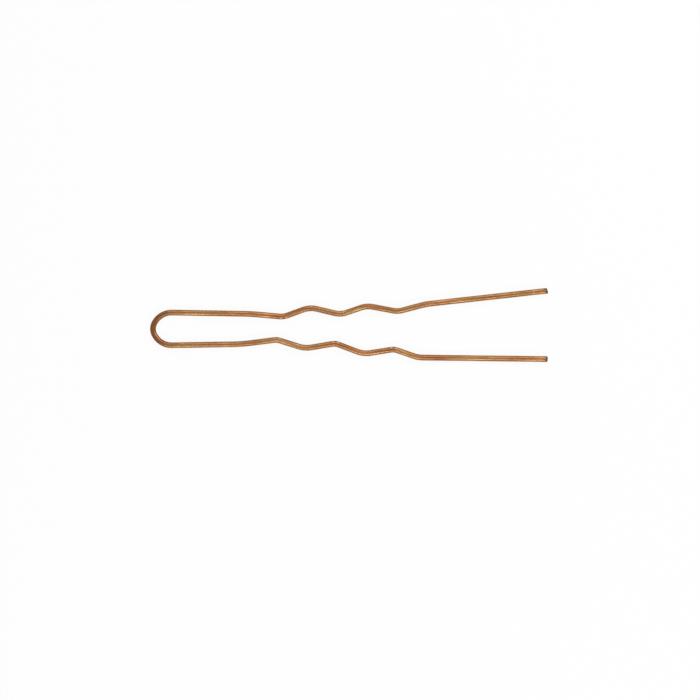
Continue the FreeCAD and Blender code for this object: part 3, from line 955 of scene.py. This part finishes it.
def hang(piece, zone, layer):
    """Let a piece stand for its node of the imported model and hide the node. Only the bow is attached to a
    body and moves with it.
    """
    node = f"{zone}_{LAYERS[layer].node}"
    low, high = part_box(node)
    points = read_points(piece.data)
    low_apart = np.abs(points.min(axis=0) - np.array(low)).max()
    high_apart = np.abs(points.max(axis=0) - np.array(high)).max()
    apart = max(low_apart, high_apart)
    if apart > FIT_TOLERANCE:
        raise RuntimeError(f"{piece.name} is {apart / MM:.3f} mm off its node")
    piece.data.set_sharp_from_angle(angle=SHARP_ANGLE)
    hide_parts(node)
    if zone not in HINGES:
        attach(piece, zone)
        return
    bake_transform(piece)


def leg_start(settings, side, part):
    """How far along the wire a zone of a leg starts, from the middle of the bow."""
    start = route_length(bow_route(settings)) / 2
    if part != "shank":
        start += route_length(shank_route(side))
    if part == "tip":
        start += route_length(crimp_route(settings, side))
    return start


def shape_tip(settings, piece, layer, side):
    """Cut a tip, press the gripper's mark into the left one, and give its steel a cut face."""
    cut_tip(settings, piece, layer, side)
    if side == "left":
        press_grip(settings, piece, layer)
    if layer == "steel":
        face_cut(settings, piece, side)


def make_zones(settings, part, routes, shape=None):
    """Make a zone of both legs, in steel and coat. It is shaped before the coat gets its thickness."""
    for side, sign in SIDES.items():
        start = leg_start(settings, side, part)
        for layer in LAYERS:
            piece = sweep_layer(settings, f"{side}_{part}_{layer}", layer, routes[side], start, sign)
            if shape:
                shape(settings, piece, layer, side)
            if layer == "coat":
                wall_coat(settings, piece)
            hang(piece, f"{side}_{part}", layer)


# Operators

class HAIRPIN_OT_bow(Operator):
    """Make the steel and the coat of the bow"""

    bl_idname = "hairpin.bow"
    bl_label = "Bow"

    def execute(self, context):
        settings = context.scene.hairpin
        route = bow_route(settings)
        for layer in LAYERS:
            piece = sweep_layer(settings, f"bow_{layer}", layer, route, -route_length(route) / 2, 1)
            for side in SIDES:
                square_end(settings, piece, HINGES[f"{side}_shank"], shank_way(side))
            if layer == "coat":
                wall_coat(settings, piece)
            hang(piece, "bow", layer)
        return {"FINISHED"}


class HAIRPIN_OT_shanks(Operator):
    """Make the steel and the coat of both straight shanks"""

    bl_idname = "hairpin.shanks"
    bl_label = "Shanks"

    def execute(self, context):
        routes = {side: shank_route(side) for side in SIDES}
        make_zones(context.scene.hairpin, "shank", routes)
        return {"FINISHED"}


class HAIRPIN_OT_crimps(Operator):
    """Make the steel and the coat of both crimps, with the nicks of the bending tools"""

    bl_idname = "hairpin.crimps"
    bl_label = "Crimps"

    def execute(self, context):
        settings = context.scene.hairpin
        routes = {side: crimp_route(settings, side) for side in SIDES}
        make_zones(settings, "crimp", routes, press_nicks)
        return {"FINISHED"}


class HAIRPIN_OT_tips(Operator):
    """Make the steel and the coat of both tips, with their cut ends"""

    bl_idname = "hairpin.tips"
    bl_label = "Tips"

    def execute(self, context):
        settings = context.scene.hairpin
        routes = {side: tip_route(settings, side) for side in SIDES}
        make_zones(settings, "tip", routes, shape_tip)
        return {"FINISHED"}


class HAIRPIN_OT_stage(Operator):
    """Make the floor, the light and the camera"""

    bl_idname = "hairpin.stage"
    bl_label = "Stage"

    def execute(self, context):
        stage = context.scene.hairpin.stage
        lay_floor(stage)
        light_world(context.scene, stage)
        hang_lamps(stage)
        place_camera(context.scene, stage)
        context.scene.view_settings.view_transform = "Standard"
        return {"FINISHED"}


# Stage

WHITE = (1.0, 1.0, 1.0, 1.0)
FLOOR_ROUGHNESS = 0.9

# Soft boxes, with their places from the middle of the picture, in metres
Lamp = namedtuple("Lamp", "place width height")
LAMPS = {
    "key": Lamp(Vector((0.05, -0.30, 0.26)), 0.5, 0.05),
    "fill": Lamp(Vector((0.15, 0.29, 0.26)), 0.6, 0.05),
    "end": Lamp(Vector((0.23, 0.21, 0.28)), 0.2, 0.2),
}


def seen_plainly(tree):
    """1 for what the eye, a reflection or glass shows, and 0 for light that falls on the pin."""
    path = add_node(tree, "ShaderNodeLightPath").outputs
    either = add_math(tree, "MAXIMUM", path["Is Camera Ray"], path["Is Glossy Ray"])
    return add_math(tree, "MAXIMUM", either, path["Is Transmission Ray"])


def lay_floor(stage):
    """A large pale floor that keeps a faint shadow of the pin."""
    half = stage.floor_size / 2
    mesh = bpy.data.meshes.new("floor")
    corners = [(-half, -half, 0), (half, -half, 0), (half, half, 0), (-half, half, 0)]
    mesh.from_pydata(corners, [], [tuple(range(len(corners)))])
    floor = bpy.data.objects.new("floor", mesh)
    bpy.context.scene.collection.objects.link(floor)
    material, tree, shader = new_material("floor_paper")
    fill_inputs(tree, shader, {
        "Base Color": (*stage.floor_colour, 1.0), "Roughness": FLOOR_ROUGHNESS, "Specular IOR Level": 0.0,
    })
    white = add_node(tree, "ShaderNodeEmission", {"Strength": 1.0})
    spot = add_node(tree, "ShaderNodeTexCoord").outputs["Object"]
    from_pin = add_vector_math(tree, "LENGTH", spot)["Value"]
    plain = spread(tree, from_pin, stage.shadow_reach, 2 * stage.shadow_reach, stage.whiteness, 1.0)
    amount = add_math(tree, "MULTIPLY", seen_plainly(tree), plain)
    mix = add_node(
        tree, "ShaderNodeMixShader",
        {0: amount, 1: shader.outputs["BSDF"], 2: white.outputs["Emission"]},
    )
    tree.links.new(mix.outputs["Shader"], tree.nodes["Material Output"].inputs["Surface"])
    mesh.materials.append(material)


def light_world(scene, stage):
    """White all round to the eye, and an even dim light on the pin."""
    world = bpy.data.worlds.new("studio")
    world.use_nodes = True
    tree = world.node_tree
    even = tree.nodes["Background"]
    fill_inputs(tree, even, {"Color": WHITE, "Strength": stage.ambient})
    white = add_node(tree, "ShaderNodeBackground", {"Color": WHITE, "Strength": 1.0})
    mix = add_node(
        tree, "ShaderNodeMixShader",
        {0: seen_plainly(tree), 1: even.outputs["Background"], 2: white.outputs["Background"]},
    )
    tree.links.new(mix.outputs["Shader"], tree.nodes["World Output"].inputs["Surface"])
    scene.world = world


def hang_lamps(stage):
    """Three soft boxes, a long one on each side of the pin and one beyond its left tip."""
    middle = Vector((stage.view_x, stage.view_y, 0.0))
    powers = {"key": stage.key_power, "fill": stage.fill_power, "end": stage.end_power}
    for name, lamp in LAMPS.items():
        light = bpy.data.lights.new(name, "AREA")
        light.energy = powers[name]
        light.shape = "RECTANGLE"
        light.size = lamp.width
        light.size_y = lamp.height
        hung = bpy.data.objects.new(name, light)
        hung.location = middle + lamp.place
        hung.rotation_euler = (-lamp.place).to_track_quat("-Z", "Y").to_euler()
        bpy.context.scene.collection.objects.link(hung)


def place_camera(scene, stage):
    """A long lens that looks straight down on the pin."""
    camera = bpy.data.cameras.new("camera")
    wire_height = HINGES["left_shank"].z
    camera.lens = camera.sensor_width * (stage.camera_height - wire_height) / stage.view_width
    eye = bpy.data.objects.new("camera", camera)
    eye.location = (stage.view_x, stage.view_y, stage.camera_height)
    scene.collection.objects.link(eye)
    scene.camera = eye


# Sidebar

class HAIRPIN_PT_sidebar(Panel):
    """Sizes, colours and steps of the hairpin"""

    bl_idname = "HAIRPIN_PT_sidebar"
    bl_label = "Waved hairpin"
    bl_space_type = "VIEW_3D"
    bl_region_type = "UI"
    bl_category = "Hairpin"

    def draw(self, context):
        settings = context.scene.hairpin
        for operator in OPERATORS:
            self.layout.operator(operator.bl_idname)
        for name in ("wire", "bow", "left", "right", "marks", "finish", "stage"):
            group = getattr(settings, name)
            box = self.layout.box()
            box.label(text=name.capitalize())
            for key in group.__annotations__:
                box.prop(group, key)


OPERATORS = (HAIRPIN_OT_bow, HAIRPIN_OT_shanks, HAIRPIN_OT_crimps, HAIRPIN_OT_tips, HAIRPIN_OT_stage)
CLASSES = (
    HAIRPIN_PG_wire, HAIRPIN_PG_bow, HAIRPIN_PG_left_leg, HAIRPIN_PG_right_leg, HAIRPIN_PG_marks,
    HAIRPIN_PG_finish, HAIRPIN_PG_stage, HAIRPIN_PG_settings, *OPERATORS, HAIRPIN_PT_sidebar,
)


def register():
    """Add the classes and the pin's settings to Blender."""
    for item in CLASSES:
        bpy.utils.register_class(item)
    bpy.types.Scene.hairpin = PointerProperty(type=HAIRPIN_PG_settings)


def unregister():
    """Take the settings and the classes out again."""
    del bpy.types.Scene.hairpin
    for item in reversed(CLASSES):
        bpy.utils.unregister_class(item)


def main():
    """Build the pin and its stage."""
    register()
    bpy.ops.hairpin.bow()
    bpy.ops.hairpin.shanks()
    bpy.ops.hairpin.crimps()
    bpy.ops.hairpin.tips()
    bpy.ops.hairpin.stage()


if __name__ == "__main__":
    main()
